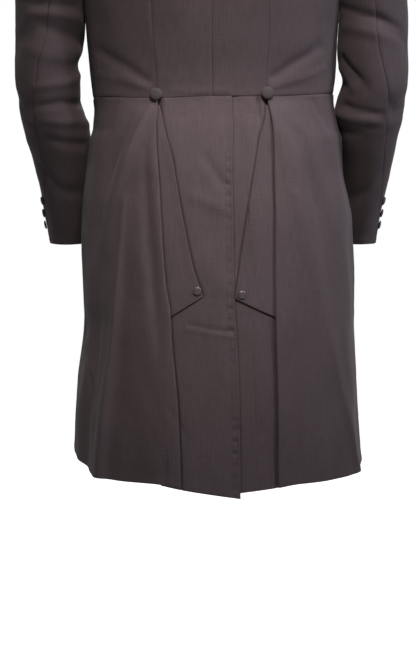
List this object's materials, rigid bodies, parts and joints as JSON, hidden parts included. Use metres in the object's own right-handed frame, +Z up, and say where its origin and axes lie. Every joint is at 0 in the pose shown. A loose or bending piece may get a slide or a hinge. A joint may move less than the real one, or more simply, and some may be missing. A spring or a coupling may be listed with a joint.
{
  "type": "frock coat",
  "caption": "Dark wool frock coat in its worn form, with a fitted body, waist seam, full skirt with a back vent, side pleats and pointed flaps, and covered buttons",
  "frame": {"origin": "midpoint between the two side-neck points, on the shoulder line, where the wearer's shoulders hold the coat", "axes": "+Z up, +X to the wearer's left, +Y to the wearer's back, so the coat's front faces -Y; metres"},
  "size_m": [0.6045, 0.3816, 1.0867],
  "materials": {
    "coat_cloth": "matt dark brown wool, faint vertical weave",
    "covered_button": "dark cloth-covered buttons with a soft sheen"
  },
  "bodies": {
    "root": {"back_left": "coat_cloth", "back_right": "coat_cloth", "side_body_left": "coat_cloth", "side_body_right": "coat_cloth", "forepart_left": "coat_cloth", "forepart_right": "coat_cloth", "lapel_left": "coat_cloth", "lapel_right": "coat_cloth", "top_sleeve_left": "coat_cloth", "top_sleeve_right": "coat_cloth", "under_sleeve_left": "coat_cloth", "under_sleeve_right": "coat_cloth", "skirt_back_left": "coat_cloth", "skirt_back_right": "coat_cloth", "skirt_side_left": "coat_cloth", "skirt_side_right": "coat_cloth", "side_edge_left": "coat_cloth", "side_edge_right": "coat_cloth", "collar": "coat_cloth", "hip_button_left": "covered_button", "hip_button_right": "covered_button", "side_edge_button_left": "covered_button", "side_edge_button_right": "covered_button", "cuff_button_left_1": "covered_button", "cuff_button_left_2": "covered_button", "cuff_button_left_3": "covered_button", "cuff_button_right_1": "covered_button", "cuff_button_right_2": "covered_button", "cuff_button_right_3": "covered_button", "front_button_1": "covered_button", "front_button_2": "covered_button", "front_button_3": "covered_button", "front_button_4": "covered_button"}
  },
  "joints": []
}
